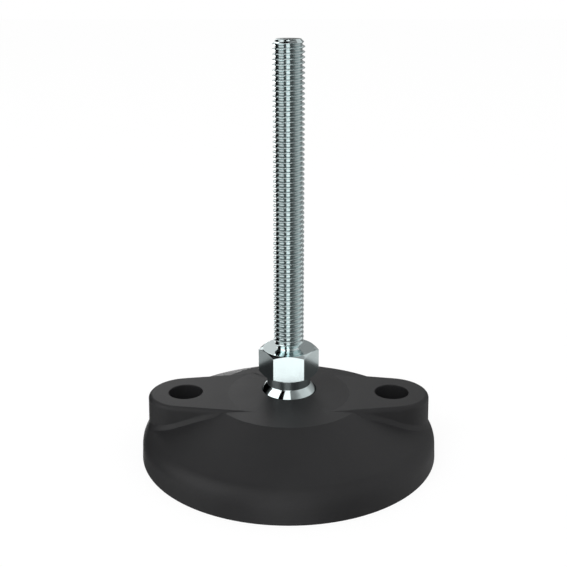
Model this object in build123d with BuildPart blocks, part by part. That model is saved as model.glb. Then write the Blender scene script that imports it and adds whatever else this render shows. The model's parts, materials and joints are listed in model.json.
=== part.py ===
import os
from math import cos, radians, sqrt, tan

from build123d import *

os.makedirs("parts", exist_ok=True)

# Swivel levelling foot, in millimetres. The floor is the plane z = 0, the spindle stands along +Z,
# and the two fixing lugs point along +X and -X.

# Threaded stud, modelled at its major diameter
thread_diameter = 8.0
stud_length = 80.0
tip_chamfer = 0.95
neck_diameter = 5.6
neck_length = 1.7
neck_foot_chamfer = 0.45
runout_angle = 45.0

# Hexagon for the spanner, and the collar below it
wrench_size = 14.0
hexagon_height = 7.35
hexagon_chamfer_angle = 30.0
hexagon_face_inset = 0.15
collar_diameter = 11.8
collar_height = 2.85

# Ball end and its socket
ball_diameter = 16.0
ball_flat_diameter = 6.0
mouth_diameter = 14.4
mouth_chamfer = 0.35
socket_clearance = 0.1

# Thrust cup under the ball: a cone that the ball rests on along one circle
seat_contact_angle = 40.0
seat_side_clearance = 0.05
seat_dish_clearance = 0.05
seat_rim_width = 0.8
seat_floor_diameter = 5.0
web_thickness = 3.4

# Outside of the moulded base
base_diameter = 80.0
rim_draft = 3.0
rim_height = 7.2
shoulder_radius = 5.5
crown_diameter = 41.0
crown_height = 15.8
crest_height = 17.45

# Fixing lugs and their holes
hole_spacing = 56.0
hole_diameter = 9.0
hole_chamfer = 0.25
lug_end_radius = 10.0
lug_root_radius = 14.6
lug_height = 16.3
lug_draft = 1.5
lug_edge_chamfer = 0.7
lug_foot_chamfer = 0.9

# Hollow underside
rim_wall = 3.7
roof_thickness = 3.2
lug_wall = 3.0
hub_diameter = 25.0
boss_diameter = 15.0
ring_diameter = 48.8
rib_thickness = 2.2
rib_lift = 0.5
rib_count = 8

# Worked out from the values above
thread_radius = thread_diameter / 2
neck_radius = neck_diameter / 2
collar_radius = collar_diameter / 2
ball_radius = ball_diameter / 2
socket_radius = ball_radius + socket_clearance
mouth_radius = mouth_diameter / 2
ball_centre = crest_height - sqrt(socket_radius**2 - mouth_radius**2)
collar_bottom = ball_centre + sqrt(ball_radius**2 - collar_radius**2)
hexagon_bottom = collar_bottom + collar_height
hexagon_top = hexagon_bottom + hexagon_height
stud_tip = hexagon_top + stud_length
base_radius = base_diameter / 2
rim_corner_radius = base_radius - rim_height * tan(radians(rim_draft))
crown_radius = crown_diameter / 2
cone_fall = (crown_height - rim_height) / (rim_corner_radius - crown_radius)
crown_fall = (crest_height - crown_height) / (crown_radius - mouth_radius)
seat_radius = socket_radius - seat_side_clearance
seat_slope = tan(radians(seat_contact_angle))
seat_point = ball_centre - (ball_radius + seat_dish_clearance) / cos(radians(seat_contact_angle))
hub_radius = hub_diameter / 2
ring_radius = ring_diameter / 2
hole_place = hole_spacing / 2


def lug_outline(inset):
    """Corner points of the sides that run tangent from the root circle to the two lug end circles."""
    end = lug_end_radius - inset
    root = lug_root_radius - inset
    lean = (root - end) / hole_place
    rise = sqrt(1 - lean**2)
    return [
        (hole_place + end * lean, end * rise),
        (root * lean, root * rise),
        (-root * lean, root * rise),
        (-hole_place - end * lean, end * rise),
        (-hole_place - end * lean, -end * rise),
        (-root * lean, -root * rise),
        (root * lean, -root * rise),
        (hole_place + end * lean, -end * rise),
    ]


# Lugs: one bar through the middle of the base, round at both ends and widest at the spindle
with BuildPart() as lugs:
    with BuildSketch(Plane.XY.offset(lug_height)):
        Polygon(*lug_outline(0), align=None)
        with GridLocations(hole_spacing, 0, 2, 1):
            Circle(lug_end_radius)
        Circle(lug_root_radius)
    extrude(amount=-lug_height, taper=-lug_draft)
    chamfer(lugs.faces().sort_by(Axis.Z)[-1].edges(), length=lug_edge_chamfer)

# Space under the roof of the base, less the bosses, the ring and the ribs that stand in it
with BuildPart() as hollow:
    inner_radius = base_radius - rim_wall
    inner_corner = crown_height - roof_thickness - (inner_radius - crown_radius) * cone_fall
    hub_ceiling = crown_height - roof_thickness + (crown_radius - hub_radius) * crown_fall
    with BuildSketch(Plane.XZ):
        Polygon(
            (hub_radius, 0),
            (inner_radius, 0),
            (inner_radius, inner_corner),
            (crown_radius, crown_height - roof_thickness),
            (hub_radius, hub_ceiling),
            align=None,
        )
    revolve(axis=Axis.Z)
    with BuildSketch(Plane.XY):
        Polygon(*lug_outline(lug_wall), align=None)
        Circle(hub_radius, mode=Mode.SUBTRACT)
    extrude(amount=lug_height - roof_thickness)
    with BuildSketch(Plane.XY):
        with GridLocations(hole_spacing, 0, 2, 1):
            Circle(boss_diameter / 2)
        with GridLocations(hole_spacing + boss_diameter / 2, 0, 2, 1):
            Rectangle(boss_diameter / 2, boss_diameter / 2)
    extrude(amount=lug_height, mode=Mode.SUBTRACT)
    with BuildSketch(Plane.XY.offset(rib_lift)):
        Circle(ring_radius + rib_thickness / 2)
        Circle(ring_radius - rib_thickness / 2, mode=Mode.SUBTRACT)
        with PolarLocations(0, rib_count, start_angle=180 / rib_count):
            Rectangle(base_radius, rib_thickness, align=(Align.MIN, Align.CENTER))
    extrude(amount=lug_height, mode=Mode.SUBTRACT)

# Moulded base: a low cone with a steep rim, the lugs, and the socket that holds the ball.
# The section is drawn towards +Y, so that the seam of the turned faces stays clear of the lugs.
with BuildPart() as base:
    with BuildSketch(Plane.YZ) as section:
        Polygon(
            (0, 0),
            (base_radius, 0),
            (rim_corner_radius, rim_height),
            (crown_radius, crown_height),
            (mouth_radius, crest_height),
            (0, crest_height),
            align=None,
        )
        shoulder = section.vertices().sort_by_distance((rim_corner_radius, rim_height, 0))[0]
        fillet(shoulder, radius=shoulder_radius)
    revolve(axis=Axis.Z)
    add(lugs.part)

    foot_lines = base.edges(Select.NEW).filter_by_position(Axis.Z, 0, lug_height - lug_edge_chamfer)
    chamfer(foot_lines, length=lug_foot_chamfer)
    add(hollow.part, mode=Mode.SUBTRACT)
    with BuildSketch(Plane.XY):
        with GridLocations(hole_spacing, 0, 2, 1):
            Circle(hole_diameter / 2)
    extrude(amount=lug_height, mode=Mode.SUBTRACT)
    hole_rims = base.edges(Select.LAST).group_by(Axis.Z)[-1]
    chamfer(hole_rims, length=hole_chamfer)
    with BuildSketch(Plane.XZ):
        with BuildLine():
            Polyline(
                (mouth_radius, crest_height),
                (0, crest_height),
                (0, web_thickness),
                (socket_radius, web_thickness),
                (socket_radius, ball_centre),
            )
            TangentArc((socket_radius, ball_centre), (mouth_radius, crest_height), tangent=(0, 1))
        make_face()
    revolve(axis=Axis.Z, mode=Mode.SUBTRACT)
    mouth_edge = base.edges().filter_by(GeomType.CIRCLE).sort_by(Axis.Z)[-1]
    chamfer(mouth_edge, length=mouth_chamfer)

# Thrust cup: a loose dish at the bottom of the socket that the ball presses on. Its cone is tangent to
# the ball, and seat_point is the height at which the cone would come to a point.
with BuildPart() as ball_seat:
    dish_radius = seat_radius - seat_rim_width
    floor_radius = seat_floor_diameter / 2
    with BuildSketch(Plane.XZ):
        Polygon(
            (0, web_thickness),
            (seat_radius, web_thickness),
            (seat_radius, seat_point + dish_radius * seat_slope),
            (dish_radius, seat_point + dish_radius * seat_slope),
            (floor_radius, seat_point + floor_radius * seat_slope),
            (0, seat_point + floor_radius * seat_slope),
            align=None,
        )
    revolve(axis=Axis.Z)

# Spindle: ball, collar, hexagon, undercut neck and stud, turned from one bar
with BuildPart() as spindle:
    corner_radius = wrench_size / sqrt(3)
    face_radius = wrench_size / 2 - hexagon_face_inset
    corner_drop = (corner_radius - face_radius) * tan(radians(hexagon_chamfer_angle))
    with BuildSketch(Plane.XY.offset(hexagon_bottom)):
        RegularPolygon(corner_radius, 6)
    extrude(amount=hexagon_height)
    with BuildSketch(Plane.XZ):
        Polygon(
            (0, hexagon_bottom),
            (face_radius, hexagon_bottom),
            (corner_radius, hexagon_bottom + corner_drop),
            (corner_radius, hexagon_top - corner_drop),
            (face_radius, hexagon_top),
            (0, hexagon_top),
            align=None,
        )
    revolve(axis=Axis.Z, mode=Mode.INTERSECT)
    runout = (thread_radius - neck_radius) / tan(radians(runout_angle))
    flat_radius = ball_flat_diameter / 2
    ball_bottom = ball_centre - sqrt(ball_radius**2 - flat_radius**2)
    with BuildSketch(Plane.XZ):
        with BuildLine():
            Line((0, ball_bottom), (flat_radius, ball_bottom))
            ThreePointArc((flat_radius, ball_bottom), (ball_radius, ball_centre), (collar_radius, collar_bottom))
            Polyline(
                (collar_radius, collar_bottom),
                (collar_radius, hexagon_bottom),
                (neck_radius + neck_foot_chamfer, hexagon_top),
                (neck_radius, hexagon_top + neck_foot_chamfer),
                (neck_radius, hexagon_top + neck_length - runout),
                (thread_radius, hexagon_top + neck_length),
                (thread_radius, stud_tip - tip_chamfer),
                (thread_radius - tip_chamfer, stud_tip),
                (0, stud_tip),
                (0, ball_bottom),
            )
        make_face()
    revolve(axis=Axis.Z)

for name, piece in (("base", base), ("ball_seat", ball_seat), ("spindle", spindle)):
    piece.part.label = name
    export_step(piece.part, f"parts/{name}.step")
    print(name, "solids", len(piece.solids()), "volume", round(piece.part.volume, 1), "mm3")
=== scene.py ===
# %% [markdown]
# # A swivel levelling foot
#
# A machine or a heavy cabinet stands on feet like this one. The threaded steel stud screws into the
# machine, the hexagon below the thread takes a spanner, and the ball at the bottom turns and tilts in a
# round moulded base, whose two lugs can be bolted to the floor.
#
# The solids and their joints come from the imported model. It is loaded first, because every piece made
# here takes its place and its size from it, and rides on one of its bodies.

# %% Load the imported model
import json
import math
import bmesh
import bpy
import numpy as np
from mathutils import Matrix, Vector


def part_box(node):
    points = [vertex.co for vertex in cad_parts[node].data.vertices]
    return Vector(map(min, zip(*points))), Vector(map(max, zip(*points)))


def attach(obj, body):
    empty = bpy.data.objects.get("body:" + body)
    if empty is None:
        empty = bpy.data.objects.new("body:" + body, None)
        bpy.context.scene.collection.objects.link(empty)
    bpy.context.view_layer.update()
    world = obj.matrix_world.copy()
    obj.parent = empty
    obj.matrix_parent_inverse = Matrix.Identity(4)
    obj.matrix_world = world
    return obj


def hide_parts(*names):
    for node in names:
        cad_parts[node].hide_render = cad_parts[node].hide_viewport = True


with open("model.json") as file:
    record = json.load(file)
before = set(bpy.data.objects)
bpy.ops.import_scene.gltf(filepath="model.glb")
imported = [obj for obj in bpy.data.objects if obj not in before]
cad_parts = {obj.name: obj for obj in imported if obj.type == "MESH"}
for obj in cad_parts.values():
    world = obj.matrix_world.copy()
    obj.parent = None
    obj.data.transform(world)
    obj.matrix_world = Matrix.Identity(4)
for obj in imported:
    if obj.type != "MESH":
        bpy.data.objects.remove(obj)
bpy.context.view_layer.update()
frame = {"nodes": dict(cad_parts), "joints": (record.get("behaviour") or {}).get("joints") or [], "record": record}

# %% [markdown]
# The sizes of the steel spindle are read from the frame where the frame has them: the tip of the stud,
# its radius, the width of the hexagon and the centre of the ball. The others are the usual ones for an M8
# stud, written once here in metres.

# %% Sizes of the spindle
mm = 0.001
spindle_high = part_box("spindle")[1]
mounts = {mount["name"]: mount for mount in frame["record"]["mounts"]}
ball_centre = frame["joints"][0]["pos_m"][2]
ball_radius = spindle_high.x

stud_tip = spindle_high.z
thread_radius = mounts["stud"]["dims"]["r_mm"] * mm
pitch = 1.25 * mm
tip_chamfer = 0.95 * mm
neck_radius = 2.8 * mm
neck_length = 1.7 * mm
neck_fillet = 0.45 * mm
hexagon_top = stud_tip - 80.0 * mm

hexagon_flat = -mounts["spanner_hexagon"]["pos_m"][1]
hexagon_height = 7.35 * mm
hexagon_face = hexagon_flat - 0.15 * mm
chamfer_slope = math.tan(math.radians(30.0))
hexagon_bottom = hexagon_top - hexagon_height
ball_flat = 3.0 * mm
collar_radius = 5.9 * mm
print("hexagon", round(2 * hexagon_flat / mm, 2), "mm wide, its top at", round(hexagon_top / mm, 2), "mm")
print("ball", round(2 * ball_radius / mm, 2), "mm across, its centre at", round(ball_centre / mm, 2), "mm")

# %% [markdown]
# Every new piece is a grid: a surface with two parameters, worked out as whole arrays. One helper turns
# such a grid of points into a mesh. It merges the points that fall on one another, which closes the seam
# where a turned shape meets itself and the poles where a row shrinks to a point, and it drops the faces
# that this leaves with no area. The signed volume of the closed shape then says whether its faces point
# outwards, and they are turned over where they don't.

# %% Turn a grid of points into a mesh object
def grid_faces(index):
    """Four corners for each square between two rows and two columns next to each other."""
    return np.stack([index[:-1, :-1], index[:-1, 1:], index[1:, 1:], index[1:, :-1]], -1).reshape(-1, 4)


def signed_volume(places, triangles):
    """A sixth of the sum of the triple products of the corners, positive where the faces point outwards."""
    first, second, third = (places[triangles[:, i]] for i in range(3))
    return np.einsum("ij,ij->i", first, np.cross(second, third)).sum() / 6


def new_object(name, mesh):
    made = bpy.data.objects.new(name, mesh)
    bpy.context.scene.collection.objects.link(made)
    return made


def grid_object(name, points, body):
    """Closed mesh of a grid of points. A face with two equal corners becomes a triangle, and a face with
    less than three different corners is dropped."""
    rows, columns = points.shape[:2]
    places, index = np.unique(np.round(points.reshape(-1, 3), 8), axis=0, return_inverse=True)
    corners = grid_faces(index.reshape(rows, columns))
    repeated = corners == np.roll(corners, -1, axis=1)
    squares = corners[repeated.sum(1) == 0]
    halves = repeated.sum(1) == 1
    triangles = corners[halves][~repeated[halves]].reshape(-1, 3)
    volume = signed_volume(places, np.concatenate([squares[:, [0, 1, 2]], squares[:, [0, 2, 3]], triangles]))
    if volume < 0:
        squares, triangles = squares[:, ::-1], triangles[:, ::-1]
    mesh = bpy.data.meshes.new(name)
    mesh.from_pydata(places.tolist(), [], squares.tolist() + triangles.tolist())
    mesh.shade_smooth()
    piece = new_object(name, mesh)
    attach(piece, body)
    print(name, "faces", len(mesh.polygons), "volume", round(abs(volume) / mm**3, 1), "mm3")
    return piece


# %% [markdown]
# ## The thread
#
# The stud is an M8 screw thread, rolled between dies: ridges with flanks at 60 degrees to each other,
# narrow flat crests and round roots, 1.25 mm from one turn to the next. A texture of rings would do at a
# distance, but the ridges also break the outline of the stud, and rings don't climb as a screw does. So
# the thread is real geometry: one strip as wide as the pitch, wound round the stud, whose upper edge falls
# on its own lower edge one turn later.
#
# Two points near each end of a flank keep its shading flat. With one, the smooth shading would run over
# from the crest and the root, and the thread would look like a row of waves.
#
# The same strip also makes both ends. Its radius is never more than that of the neck, of the run-out
# above it and of the chamfer at the tip, and beyond the ends the radius shrinks to nothing at a constant
# height, which closes the solid. A real stud is cut off wherever its length is reached, so the thread may
# start at any angle. Here the crests stand at the heights that they have in the picture.

# %% The form of one thread ridge
crest_half = 1 / 16
flank_end = 5 / 16
root_centre = 0.3248
root_radius = 0.2165


def thread_depth(distance):
    """Depth below the crest, in pitches, at a distance in pitches from the middle of the crest.
    It is nothing across the crest, which is an eighth of the pitch wide. Then it grows by the square root
    of three times the distance, which is a flank at 30 degrees to a level plane. Beyond the flank's end it
    follows a circle: the depth of its centre, plus the square root of what is left of its radius squared
    after the square of the distance to the middle of the groove is taken off."""
    flank = math.sqrt(3.0) * np.clip(distance - crest_half, 0, None)
    root = root_centre + np.sqrt(np.clip(root_radius**2 - (0.5 - distance) ** 2, 0, None))
    return np.where(distance < flank_end, flank, root)


half_ridge = np.array([0.0, 0.052, 0.068, 0.082, 0.295, flank_end, 0.36, 0.41, 0.455, 0.5])
ridge = np.concatenate([half_ridge, 1 - half_ridge[-2::-1]])
ridge_depth = thread_depth(np.minimum(ridge, 1 - ridge)) * pitch
print("points across a ridge", len(ridge), "depth", round(ridge_depth.max() / mm, 3), "mm")

# %% Wind the strip round the stud
def stud_points(around):
    """Helix: the angle grows with the step, the height by one pitch a turn and by the place across the
    ridge, and the radius is the least of the thread's, the neck's and the chamfer's at that height."""
    thread_start = 0.36
    end_turns = 3.5
    level_end, closing_slope = 0.3 * pitch, 2
    sunk = 0.4 * mm
    foot = hexagon_top - sunk
    turns = (stud_tip - foot) / pitch + 2 * end_turns
    step = np.arange(int(turns * around) + 1)[:, None] / around
    height = foot + (step - end_turns + ridge) * pitch
    inside = np.clip(height, foot, stud_tip)

    above_hexagon = inside - hexagon_top
    fillet = np.clip(neck_fillet - above_hexagon, 0, neck_fillet)
    neck = neck_radius + neck_fillet - np.sqrt(neck_fillet**2 - fillet**2)
    runout = neck_radius + np.clip(above_hexagon - neck_length + thread_radius - neck_radius, 0, None)
    neck = np.where(above_hexagon < neck_fillet, neck, runout)
    chamfer = thread_radius - tip_chamfer + stud_tip - inside
    radius = np.minimum(np.minimum(thread_radius - ridge_depth, neck), chamfer)

    beyond = np.clip(np.abs(height - inside) - level_end, 0, None)
    radius = np.clip(radius - closing_slope * beyond, 0, None)
    angle = np.broadcast_to(2 * math.pi * (step - thread_start), radius.shape)
    return np.stack([radius * np.cos(angle), radius * np.sin(angle), inside], -1)


stud = grid_object("stud", stud_points(around=72), "spindle")
print("stud reaches", round(max(v.co.z for v in stud.data.vertices) / mm, 3), "mm")

# %% [markdown]
# ## Hexagon, collar and ball
#
# Below the thread the bar keeps its hexagon for the spanner. Its corners are turned off by a cone at
# both ends, so each flat ends in a curve. A collar joins it to the ball.
#
# All of it is one turned profile whose radius varies with the angle where it crosses the hexagon. The
# curve at the end of a flat needs no cutting: its height follows from the cone at the flat's own radius.
# A bevel of a few hundredths of a millimetre then breaks the edges, because bright metal shows its edges
# by the thin line of light that they catch.

# %% The turned profile with six flats
def spindle_points(around):
    """Rows from pole to pole. Across a flat the radius is the half width over the cosine of the angle to
    the middle of the flat. The ball's rows are an arc: centre plus radius times sine and cosine."""
    angle = 2 * math.pi * np.arange(around + 1) / around
    flat = np.round(hexagon_flat / np.cos(np.mod(angle, math.pi / 3) - math.pi / 6), 9)
    drop = (flat - hexagon_face) * chamfer_slope
    arc_start = math.asin(collar_radius / ball_radius)
    arc_end = math.pi - math.asin(ball_flat / ball_radius)
    polar = np.linspace(arc_start, arc_end, 40)
    rows = [(0, hexagon_top), (neck_radius, hexagon_top), (hexagon_face, hexagon_top)]
    rows += [(flat, hexagon_top - drop), (flat, hexagon_bottom + drop)]
    rows += [(hexagon_face, hexagon_bottom), (collar_radius, hexagon_bottom)]
    rows += list(zip(ball_radius * np.sin(polar), ball_centre + ball_radius * np.cos(polar)))
    rows += [(0, rows[-1][1])]
    x, y = np.cos(angle), np.sin(angle)
    grid = [np.broadcast_arrays(radius * x, radius * y, height) for radius, height in rows]
    return np.stack(grid).transpose(0, 2, 1)


spindle_body = grid_object("spindle_body", spindle_points(around=192), "spindle")
spindle_body.data.set_sharp_from_angle(angle=math.radians(18))
edges = spindle_body.modifiers.new("broken edges", "BEVEL")
edges.width = 0.05 * mm
edges.segments = 2
edges.limit_method = "ANGLE"
edges.angle_limit = math.radians(25)
edges.harden_normals = True
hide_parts("spindle")
print("collar", round(2 * collar_radius / mm, 2), "mm across")

# %% [markdown]
# ## Soft edges on the moulded base
#
# A moulding has no sharp outer edges. On the solid the edges of the lugs are narrow chamfers, and so are
# the corners in which the lugs meet the cone. The visible base is a copy of the solid's mesh. Its split
# points are merged and its level triangles joined to whole facets, which gives a clean mesh to work on. A
# bevel then rounds both edges of each chamfer, so that the chamfer becomes a fillet. It is narrower at the
# feet of the lugs, and fades out where the lugs run into the crown.
#
# The other edges stay crisp, as on the real moulding, also the slight ones between the level lug tops, the
# flat crown and the cone around it. All are found by the slopes of the faces on both sides.

# %% A clean copy of the base's mesh
def merged_copy(name, node):
    """The same surface as the node's, with one point where its triangles had several."""
    mesh = frame["nodes"][node].data.copy()
    mesh.name = name
    merging = bmesh.new()
    merging.from_mesh(mesh)
    points, edges = merging.verts, merging.edges
    bmesh.ops.remove_doubles(merging, verts=points, dist=0.001 * mm)
    bmesh.ops.dissolve_limit(merging, angle_limit=math.radians(0.2), verts=points, edges=edges)
    merging.to_mesh(mesh)
    merging.free()
    if "custom_normal" in mesh.attributes:
        mesh.attributes.remove(mesh.attributes["custom_normal"])
    mesh.shade_smooth()
    piece = new_object(name, mesh)
    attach(piece, node)
    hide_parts(node)
    print(name, "points", len(mesh.vertices), "faces", len(mesh.polygons))
    return piece


moulded_base = merged_copy("moulded_base", "base")

# %% Slopes on both sides of every edge
def read_all(collection, name, width, kind=float):
    """One property of every point, edge or face as an array, a row for each when it has several values."""
    values = np.empty(len(collection) * width, kind)
    collection.foreach_get(name, values)
    return values.reshape(-1, width) if width > 1 else values


def edge_sides(mesh):
    """Normals of the two faces at each edge: the loops sorted by their edge stand in pairs."""
    face = np.repeat(np.arange(len(mesh.polygons)), read_all(mesh.polygons, "loop_total", 1, int))
    order = np.argsort(read_all(mesh.loops, "edge_index", 1, int), kind="stable")
    return read_all(mesh.polygons, "normal", 3)[face[order].reshape(-1, 2)]


crown_slope, cone_slope, slope_margin = 7.1, 24.3, 0.6
soft_bend, crisp_bend = 20, 60
sides = edge_sides(moulded_base.data)
slopes = np.degrees(np.arccos(np.clip(sides[..., 2], -1, 1)))
bend = np.degrees(np.arccos(np.clip((sides[:, 0] * sides[:, 1]).sum(-1), -1, 1)))
kinds = np.abs(slopes[..., None] - np.array([0.0, crown_slope, cone_slope])) < slope_margin
creases = kinds.any(-1).all(-1) & (kinds[:, 0] != kinds[:, 1]).any(-1)
moulded_base.data.edges.foreach_set("use_edge_sharp", creases | (bend > crisp_bend))
print("crisp edges", int(creases.sum()), "between the level, crown and cone faces")

# %% Round the edges and feet of the lugs
rim_height, crown_reach, hole_reach = 7 * mm, 15 * mm, 6 * mm
fade_length, least_softness = 8 * mm, 0.1
feet_top, feet_share = 14.5 * mm, 0.4

points = read_all(moulded_base.data.vertices, "co", 3)
ends = points[read_all(moulded_base.data.edges, "vertices", 2, int)]
middle = np.abs(ends.mean(1))
hole_place = mounts["fixing_holes"]["dims"]["spacing_x_mm"] / 2 * mm
from_hole = np.hypot(middle[:, 0] - hole_place, middle[:, 1])
from_axis = np.hypot(middle[:, 0], middle[:, 1])
outside = (ends[..., 2].min(1) > rim_height) & (from_axis > crown_reach) & (from_hole > hole_reach)
soft = outside & (bend > soft_bend) & (bend < crisp_bend)
softness = soft * np.clip((middle[:, 0] - crown_reach) / fade_length, least_softness, 1.0)
softness[middle[:, 2] < feet_top] *= feet_share
weight = moulded_base.data.attributes.new("bevel_weight_edge", "FLOAT", "EDGE")
weight.data.foreach_set("value", softness.astype(np.float32))

fillets = moulded_base.modifiers.new("soft lug edges", "BEVEL")
fillets.limit_method = "WEIGHT"
fillets.width = 0.42 * mm
fillets.segments = 3
fillets.use_clamp_overlap = False
weights = moulded_base.modifiers.new("weighted normals", "WEIGHTED_NORMAL")
weights.keep_sharp = True
print("edges rounded", int(soft.sum()))

# %% [markdown]
# ## Shader maths
#
# A finish is a calculation: a noise pattern times a depth, plus a base value. Written as nodes it is hard
# to read, so a small class wraps an output socket and gives it plus and times. Its method `node` adds any
# other node: its kind, its settings, then the values or links of its sockets. The kinds that return often
# have a short method of their own.

# %% A socket with arithmetic
class Signal:
    """One output socket of a material or world. Arithmetic on it adds Math nodes to the same tree."""

    def __init__(self, tree, socket=None):
        self.tree = tree
        self.socket = socket

    def node(self, kind, settings=None, values=None, output=0):
        """A new node, whose sockets take numbers, colours or other signals, and the output it is asked for."""
        made = self.tree.nodes.new(kind)
        for name, value in (settings or {}).items():
            setattr(made, name, value)
        for name, value in (values or {}).items():
            if isinstance(value, Signal):
                self.tree.links.new(value.socket, made.inputs[name])
            else:
                made.inputs[name].default_value = value
        return Signal(self.tree, made.outputs[output] if made.outputs else None)

    def math(self, operation, *values):
        return self.node("ShaderNodeMath", {"operation": operation}, dict(enumerate(values)))

    def __add__(self, other):
        return self.math("ADD", self, other)

    def __mul__(self, other):
        return self.math("MULTIPLY", self, other)

    def ramp(self, low, high):
        """Nothing at low, one at high, and an even rise between them."""
        return self.node("ShaderNodeMapRange", {}, {"Value": self, "From Min": low, "From Max": high})

    def band(self, low, high, rise, fall):
        """One between low and high, with an even rise above low and an even fall below high."""
        return self.ramp(low, low + rise) * self.ramp(high, high - fall)

    def noise(self, scale, detail, roughness=0.5):
        """Smooth random values between nothing and one, taken at these coordinates times the scale."""
        return self.node("ShaderNodeTexNoise", {}, {
            "Vector": self, "Scale": scale, "Detail": detail, "Roughness": roughness,
        })

    def bump(self, strength, distance):
        """The direction of a surface that would stand out by the distance where this value is one."""
        return self.node("ShaderNodeBump", {}, {"Strength": strength, "Distance": distance, "Height": self})

    def blend(self, first, second):
        """A colour that goes from the first to the second as this value goes from nothing to one."""
        return self.node("ShaderNodeMix", {"data_type": "RGBA"}, {0: self, 6: first, 7: second}, output=2)


def new_material(name):
    """An empty material, and the wrapper that its nodes start from."""
    made = bpy.data.materials.new(name)
    made.use_nodes = True
    made.node_tree.nodes.clear()
    return made, Signal(made.node_tree)


def set_material(piece, finish):
    """Give the piece this one finish in place of any others."""
    piece.data.materials.clear()
    piece.data.materials.append(finish)


# %% [markdown]
# ## Moulded black nylon
#
# The base is glass-filled nylon from a spark-eroded mould. The mould leaves a grain of about a tenth of a
# millimetre, too fine to see as bumps at arm's length, but it spreads the reflections, and that is why
# the base looks soft and matt. The flow of the plastic leaves faint clouds that are a little duller or
# lighter than the rest. Both are noise patterns on the object's own coordinates: the fine one feeds the
# bump, and the coarse one moves colour and roughness by a few hundredths.

# %% Material of the base
def moulded_nylon(name, dark, light, dullness):
    """The clouds and a few specks move the colour from dark to light. Clouds and grain add a few hundredths
    to the dullness, and the relief is seven tenths of the grain plus three tenths of the specks."""
    made, start = new_material(name)
    place = start.node("ShaderNodeTexCoord", output=3)
    clouds = place.noise(scale=45.0, detail=3.0, roughness=0.6)
    grain = place.noise(scale=5200.0, detail=2.0)
    specks = place.noise(scale=1400.0, detail=2.0)
    tone = clouds.ramp(0.3, 0.7) * 0.7 + specks.ramp(0.55, 0.75) * 0.3
    relief = grain * 0.7 + specks * 0.3
    shader = start.node("ShaderNodeBsdfPrincipled", {}, {
        "Base Color": tone.blend(dark, light),
        "Roughness": clouds.ramp(0.3, 0.7) * 0.08 + grain.ramp(0.3, 0.7) * 0.06 + dullness,
        "Specular IOR Level": 0.3,
        "Normal": relief.bump(strength=0.35, distance=0.02 * mm),
    })
    start.node("ShaderNodeOutputMaterial", {}, {"Surface": shader})
    return made


black, soft_black = (0.017, 0.017, 0.018, 1), (0.023, 0.023, 0.024, 1)
cream, light_cream = (0.62, 0.60, 0.53, 1), (0.74, 0.72, 0.66, 1)
black_nylon = moulded_nylon("moulded_black_nylon", black, soft_black, dullness=0.42)
natural_nylon = moulded_nylon("natural_nylon", cream, light_cream, dullness=0.38)
set_material(moulded_base, black_nylon)
frame["nodes"]["ball_seat"].material_slots[0].material = natural_nylon
print("materials", black_nylon.name, natural_nylon.name)

# %% [markdown]
# ## Bright plated steel
#
# The spindle is turned on a lathe and then plated, which gives it a cool, bright surface. The turned
# faces are so smooth that the neck of the stud is mirrored in the top of the hexagon. Its six flats keep
# the surface of the drawn bar and are duller, so the roughness goes up between two heights. The thread is
# rolled, which leaves its crests dull and its flanks and roots smooth, and the grooves get a painted shade.
# So the crests run round the stud as light lines, and the bars of the studio show between them.
# The distance from the axis tells a crest from a root.
#
# The tool leaves rings round the axis that are much finer than the picture's pixels. They are noise too,
# with the coordinates stretched along Z so that the pattern is thin rings. They only tilt the surface a
# little, while a coarser pattern makes the plating a touch duller in places.

# %% Material of the spindle
bright_plating, worn_plating = (0.81, 0.92, 0.925, 1), (0.74, 0.845, 0.85, 1)
# Painted shade: the near black that the thread's grooves are darkened towards.
painted_groove_shade = (0.05, 0.055, 0.055, 1)


def plated_steel(name, turned, drawn, rolled, groove_shade_share):
    """The dullness is that of the turned faces, that of the drawn flats between the hexagon's ends, and that
    of the thread's rolled crests. The grooves get a painted shade: their colour goes towards a near black by
    the share given. The radius tells the crests from the grooves, and the height keeps both between the neck and
    the chamfer at the tip."""
    made, start = new_material(name)
    place = start.node("ShaderNodeTexCoord", output=3)
    stretched = start.node("ShaderNodeMapping", {}, {"Vector": place, "Scale": (300.0, 300.0, 22000.0)})
    rings = stretched.noise(scale=1.0, detail=2.0)
    wear = place.noise(scale=220.0, detail=4.0, roughness=0.6).ramp(0.35, 0.75)
    height = start.node("ShaderNodeSeparateXYZ", {}, {0: place}, output=2)
    flats = height.band(hexagon_bottom, hexagon_top - 0.1 * mm, rise=0.2 * mm, fall=0.2 * mm)
    neck_top = hexagon_top + neck_length
    thread = height.band(neck_top - 0.6 * mm, stud_tip - 0.8 * mm, rise=0.6 * mm, fall=0.2 * mm)

    across = start.node("ShaderNodeVectorMath", {"operation": "MULTIPLY"}, {0: place, 1: (1, 1, 0)})
    radius = start.node("ShaderNodeVectorMath", {"operation": "LENGTH"}, {0: across}, output=1)
    # Painted shade: where the radius falls below the crests on the thread, the grooves are marked for darkening.
    grooves = radius.ramp(thread_radius - 0.15 * mm, thread_radius - 0.6 * mm) * thread
    crests = radius.ramp(thread_radius - 0.2 * mm, thread_radius - 0.02 * mm) * thread

    plating = wear.blend(bright_plating, worn_plating)
    patches = wear * 0.02 + rings.ramp(0.3, 0.7) * 0.02
    shader = start.node("ShaderNodeBsdfPrincipled", {}, {
        # Painted shade: the base colour goes darker deep in the thread's grooves.
        "Base Color": (grooves * groove_shade_share).blend(plating, painted_groove_shade),
        "Metallic": 1.0,
        "Roughness": patches + flats * (drawn - turned) + crests * (rolled - turned) + turned,
        "Normal": rings.bump(strength=0.25, distance=0.0002 * mm),
    })
    start.node("ShaderNodeOutputMaterial", {}, {"Surface": shader})
    return made


# The last share is how far the painted shade darkens the thread's grooves.
steel = plated_steel("plated_steel", turned=0.06, drawn=0.15, rolled=0.36, groove_shade_share=0.3)
set_material(stud, steel)
set_material(spindle_body, steel)
print("material", steel.name, "on", stud.name, "and", spindle_body.name)

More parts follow.
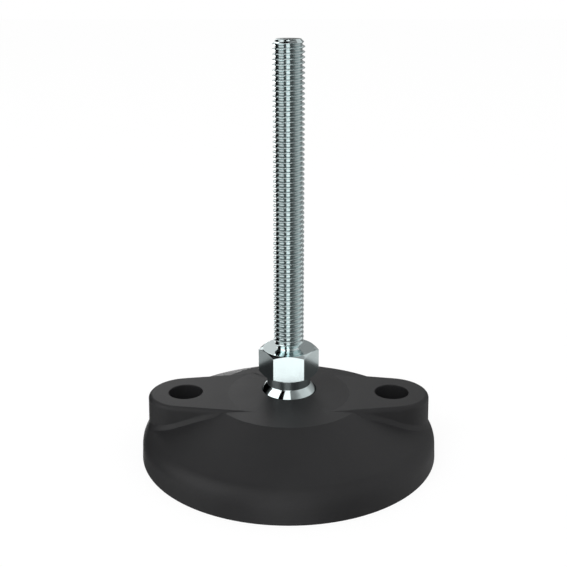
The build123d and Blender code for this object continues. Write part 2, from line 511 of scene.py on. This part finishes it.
# %% [markdown]
# ## Floor and backdrop
#
# The foot stands on a plain white floor in front of white. The world is white for the camera and for
# reflections, and a little dimmer for the light that it casts. The floor does the same: most of what the
# camera sees of it is its own white, and the rest is lit, so that the shadow of the base stays.

# %% World and floor
def seen_directly(start):
    """One for camera, mirror and glass rays, and nothing for the rays that carry light."""
    names = ("Is Camera Ray", "Is Glossy Ray", "Is Transmission Ray")
    rays = [start.node("ShaderNodeLightPath", output=name) for name in names]
    return start.math("MINIMUM", rays[0] + rays[1] + rays[2], 1.0)


world_light, white = 0.75, (1, 1, 1, 1)
floor_glow, floor_grey, floor_share = 1.04, (0.9, 0.9, 0.9, 1), 0.86

world = bpy.data.worlds.new("studio")
bpy.context.scene.world = world
world.use_nodes = True
world.node_tree.nodes.clear()
sky = Signal(world.node_tree)
dim = sky.node("ShaderNodeBackground", {}, {"Strength": world_light, "Color": white})
full = sky.node("ShaderNodeBackground", {}, {"Strength": 1.0, "Color": white})
backdrop = sky.node("ShaderNodeMixShader", {}, {0: seen_directly(sky), 1: dim, 2: full})
sky.node("ShaderNodeOutputWorld", {}, {"Surface": backdrop})

white_floor, start = new_material("white_floor")
glow = start.node("ShaderNodeEmission", {}, {"Color": white, "Strength": floor_glow})
lit = start.node("ShaderNodeBsdfDiffuse", {}, {"Color": floor_grey})
seen = seen_directly(start) * floor_share
mixed = start.node("ShaderNodeMixShader", {}, {0: seen, 1: lit, 2: glow})
start.node("ShaderNodeOutputMaterial", {}, {"Surface": mixed})

floor_half, floor_drop = 3.0, 0.1 * mm
floor_mesh = bpy.data.meshes.new("floor")
floor_sides = np.array([[-floor_half, floor_half]])
floor_points = np.stack(np.broadcast_arrays(floor_sides, floor_sides.T, -floor_drop), -1)
floor_mesh.from_pydata(floor_points.reshape(-1, 3).tolist(), [], [(0, 1, 3, 2)])
floor = new_object("floor", floor_mesh)
set_material(floor, white_floor)
floor.visible_glossy = False
print("floor", 2 * floor_half, "m across")

# %% [markdown]
# ## Cards
#
# Bright metal is photographed by what it mirrors. From left to right the ball and the neck show black,
# white, a narrow black bar, a white bar in the middle, and a grey that grows lighter towards the right.
# The top of the hexagon and its chamfered corners mirror what is behind the foot and above it, and the
# roots of the thread mirror a band near the level that is darker than the rest. So cards stand all round
# at a distance of 2 m, where each direction of reflection meets only one of them. Their greys were found
# one by one, each from a place on the steel that mirrors it. Only reflections see the cards, and the white
# backdrop shows wherever there is no card. The floor is left out of the reflections, as under a foot that
# hangs in the middle of a tent.
#
# A card is a patch of a sphere: it covers a range of turns and a range of heights, both in degrees. Its
# grey can change along the turn, so it is kept at the points of the mesh.

# %% One card
card_distance = 2.0
card_rows, card_columns = 13, 41


def card(name, low, high, turns, greys):
    """The turn counts from the camera's side to the right, and the grey runs evenly between the stops. A
    point is the sphere's radius times the sines and cosines of its turn and its height."""
    turn = np.linspace(turns[0], turns[-1], card_columns)
    t, h = np.radians(turn), np.radians(np.linspace(low, high, card_rows))[:, None]
    x, y, z = np.broadcast_arrays(np.sin(t) * np.cos(h), -np.cos(t) * np.cos(h), np.sin(h))
    points = card_distance * np.stack([x, y, z], -1)
    faces = grid_faces(np.arange(card_rows * card_columns).reshape(card_rows, card_columns))
    mesh = bpy.data.meshes.new(name)
    mesh.from_pydata(points.reshape(-1, 3).tolist(), [], faces.tolist())
    grey = np.broadcast_to(np.interp(turn, turns, greys), (card_rows, card_columns))
    mesh.attributes.new("grey", "FLOAT", "POINT").data.foreach_set("value", grey.astype(np.float32).ravel())
    piece = new_object(name, mesh)
    set_material(piece, card_finish)
    piece.visible_camera = False
    piece.visible_diffuse = False
    piece.visible_shadow = False
    piece.visible_transmission = False


card_finish, start = new_material("card")
printed = start.node("ShaderNodeAttribute", {"attribute_name": "grey"})
shine = start.node("ShaderNodeEmission", {}, {"Color": printed, "Strength": 1.0})
start.node("ShaderNodeOutputMaterial", {}, {"Surface": shine})

# %% [markdown]
# Each row below is a card: its name, its lowest and highest edge, the turns at which its grey is given, and
# those greys. A grey above one is brighter than the backdrop. They go from the front by way of the left and
# the right to the back, and then above and below the foot.

# %% All cards
right_turns = (9, 35, 50, 64, 105, 120, 150)
right_greys = (0.14, 0.22, 0.4, 0.57, 0.64, 0.38, 0.26)
cards = [
    ("white_front_low", -40, -19, (-24, 9), (1.1, 1.1)),
    ("white_front", -19, -12, (-24, 9), (1.8, 1.8)),
    ("white_front_level", -12, 8, (-18, 11), (1.9, 1.9)),
    ("white_front_above", 8, 28, (-24, 9), (1.3, 1.3)),
    ("white_front_high", 28, 80, (-24, 9), (1.2, 1.2)),
    ("white_left", -19, -12, (-97, -46), (1.6, 1.6)),
    ("white_left_level", -12, 8, (-97, -80, -60, -46), (0.1, 0.3, 0.5, 0.2)),
    ("white_left_above", 8, 50, (-97, -46), (1.6, 1.6)),
    ("grey_left_front", -28, -19, (-97, -46), (0.4, 0.4)),
    ("black_bar", -28, -12, (-46, -24), (0.0, 0.0)),
    ("black_bar_level", -12, 8, (-46, -18), (0.2, 0.2)),
    ("black_bar_above", 8, 58, (-46, -24), (0.0, 0.0)),
    ("grey_right", -19, -12, right_turns, right_greys),
    ("grey_right_level", -12, 8, (11, 35, 50, 64, 105, 120, 150), (0.02, 0.02, 0.1, 0.5, 0.7, 0.4, 0.2)),
    ("grey_right_above", 8, 33, right_turns, right_greys),
    ("grey_right_low", -28, -19, (9, 50, 121, 150), (0.12, 0.3, 0.57, 0.4)),
    ("grey_right_high", 33, 58, (9, 35, 50, 64, 105, 130, 150), (0.2, 0.22, 0.34, 0.55, 0.62, 0.6, 0.85)),
    ("black_left", -19, 33, (-150, -115, -101, -97), (0.0, 0.0, 0.05, 0.3)),
    ("grey_left_low", -28, -19, (-150, -122, -97), (0.1, 0.34, 0.5)),
    ("light_back", 8, 33, (-180, -172, -165, -157, -150), (0.62, 0.8, 1.2, 1.2, 0.1)),
    ("grey_back", 8, 33, (150, 157, 165, 172, 180), (0.12, 0.35, 0.4, 0.3, 0.25)),
    ("dark_back_left", -8, 8, (-180, -150), (0.2, 0.05)),
    ("bright_floor_back_left", -28, -8, (-180, -160, -150), (3.5, 3.5, 0.4)),
    ("dark_back_right", -28, 8, (150, 180), (0.17, 0.17)),
    ("lamp_back_left", 33, 58, (-180, -160, -150, -103), (2.4, 2.4, 0.0, 0.0)),
    ("lamp_back_right", 33, 58, (150, 158, 165, 180), (0.5, 0.5, 1.25, 1.25)),
    ("top_left", 58, 90, (-180, -24), (0.01, 0.01)),
    ("top_right", 58, 90, (9, 90, 133, 160, 180), (0.1, 0.1, 0.35, 0.2, 0.1)),
    ("under_left", -90, -28, (-180, -110, -97, -46, -24), (0.1, 0.1, 0.18, 0.18, 0.18)),
    ("under_front", -90, -40, (-24, 9), (0.3, 0.3)),
    ("under_right", -90, -28, (9, 60, 100, 180), (0.1, 0.16, 0.36, 0.3)),
]
for row in cards:
    card(*row)
print("cards", len(cards), "at", card_distance, "m")

# %% [markdown]
# ## Lamps
#
# The black base shows its form only by soft light. Two large lamps light it, the stronger one from the
# left. Reflections don't see them, so that they leave no spots on the steel.

# %% Lamps
lamp_size = 0.6
lamp_aim = Vector((0, 0, 0.03))


def lamp(name, place, power):
    """A square lamp at this place, turned towards the stud's lower end. Its power is in watts."""
    data = bpy.data.lights.new(name, "AREA")
    data.size = lamp_size
    data.energy = power
    made = new_object(name, data)
    made.location = place
    made.rotation_euler = (lamp_aim - Vector(place)).to_track_quat("-Z", "Y").to_euler()
    made.visible_glossy = False
    print("lamp", name, "of", power, "W")


lamp("key", (-0.6, -0.7, 0.9), power=4.0)
lamp("fill", (0.8, -0.4, 0.6), power=0.6)

# %% [markdown]
# ## Camera
#
# The picture's perspective was worked out from the stud, whose thread counts its own length, and from
# the circles of the base. The camera looks down by 18 degrees from 0.23 m away.

# %% Camera
picture_width, focal_pixels, axis_shift = 567, 927.6, -5.2
camera_back, camera_height, look_down = 0.23078, 0.12256, 18.074
camera_data = bpy.data.cameras.new("camera")
camera_data.sensor_width = 36.0
camera_data.lens = camera_data.sensor_width * focal_pixels / picture_width
camera_data.shift_x = axis_shift / picture_width
camera_data.clip_start = 0.01
camera = new_object("camera", camera_data)
camera.location = (0.0, -camera_back, camera_height)
camera.rotation_euler = (math.radians(90 - look_down), 0, 0)
bpy.context.scene.camera = camera
bpy.context.scene.view_settings.view_transform = "Standard"
print("lens", round(camera_data.lens, 2), "mm")
